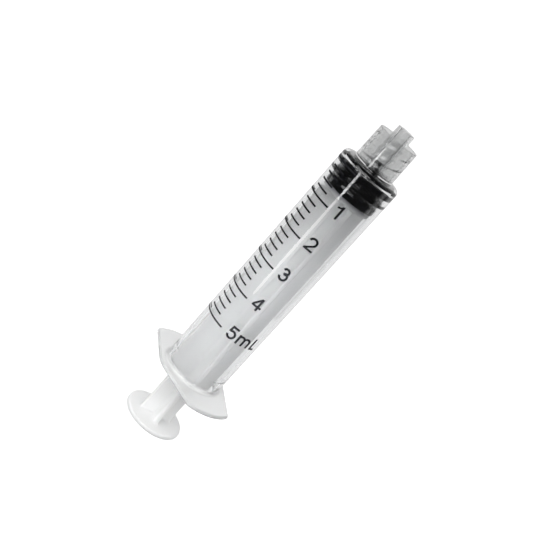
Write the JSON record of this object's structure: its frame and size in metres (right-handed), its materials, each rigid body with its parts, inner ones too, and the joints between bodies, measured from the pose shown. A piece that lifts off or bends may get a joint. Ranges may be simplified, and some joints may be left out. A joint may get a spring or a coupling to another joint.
{
  "type": "oral syringe",
  "caption": "Clear dosing syringe with a printed millilitre scale, finger flange, luer-lock nozzle, cruciform plunger rod and black rubber gasket.",
  "frame": {"origin": "centre of the thumb rest's underside, on the barrel's axis", "axes": "+Z along the barrel towards the nozzle, X along the finger flange's wings, the printed scale faces -Y"},
  "size_m": [0.0268, 0.0174, 0.0839],
  "materials": {
    "clear_barrel": "clear moulded polypropylene, polished",
    "milky_rod": "translucent white moulded polypropylene, satin",
    "black_rubber": "black rubber wetted with silicone oil",
    "scale_ink": "black printed ink"
  },
  "bodies": {
    "barrel": {"barrel": "clear_barrel", "long_marks": "scale_ink", "short_marks": "scale_ink", "numeral_1": "scale_ink", "numeral_2": "scale_ink", "numeral_3": "scale_ink", "numeral_4": "scale_ink", "numeral_5": "scale_ink", "unit_ml": "scale_ink"},
    "gasket": {"gasket": "black_rubber"},
    "plunger_rod": {"plunger_rod": "milky_rod"}
  },
  "joints": [
    {"name": "plunger_slide", "type": "slide", "parent": "barrel", "child": "gasket", "axis": [0, 0, -1], "range_m": [0, 0.05]},
    {"name": "rod_spin", "type": "hinge", "parent": "gasket", "child": "plunger_rod", "pos_m": [0, 0, 0.068], "axis": [0, 0, 1], "continuous": true}
  ]
}
